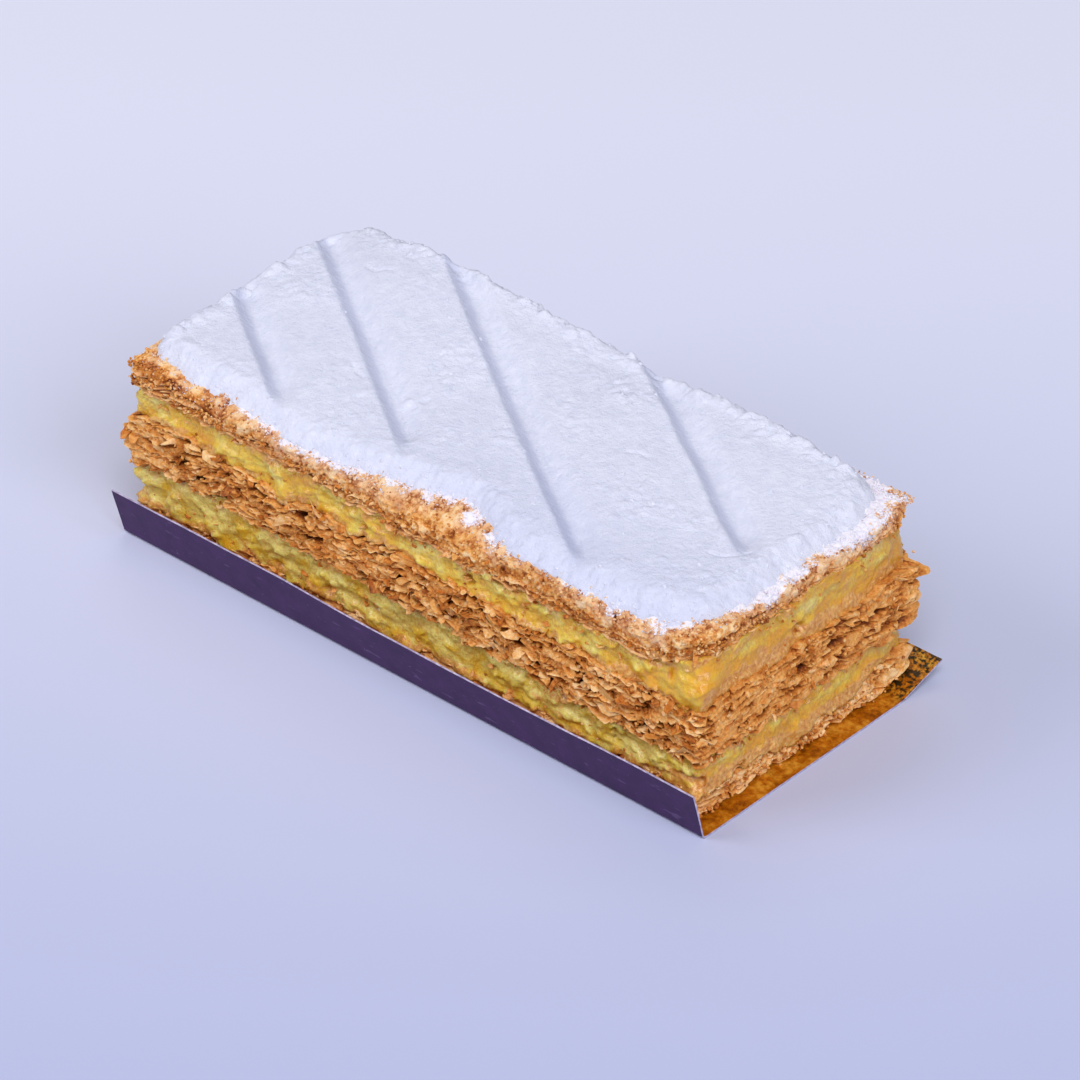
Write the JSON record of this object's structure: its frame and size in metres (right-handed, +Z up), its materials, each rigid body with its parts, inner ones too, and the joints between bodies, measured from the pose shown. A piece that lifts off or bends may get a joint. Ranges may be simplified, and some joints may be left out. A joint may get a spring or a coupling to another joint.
{
  "type": "mille feuille slice",
  "caption": "Layered puff pastry and custard slice with grooved icing sugar on top, lying in a folded card tray.",
  "frame": {"origin": "on the table, under the middle of the whole outline", "axes": "+X along the slice, +Y from the tray's steep flap to its flat flap, +Z up"},
  "size_m": [0.1316, 0.0624, 0.0405],
  "materials": {
    "pastry": "baked puff pastry, dry and flaky",
    "custard": "set pastry cream, moist sheen",
    "icing_sugar": "icing sugar powder",
    "foil_card": "thin card, aubergine outside, gold foil inside"
  },
  "bodies": {
    "root": {"card_tray": "foil_card", "pastry_bottom": "pastry", "custard_lower": "custard", "pastry_middle": "pastry", "custard_upper": "custard", "pastry_top": "pastry", "sugar_top": "icing_sugar"}
  },
  "joints": []
}
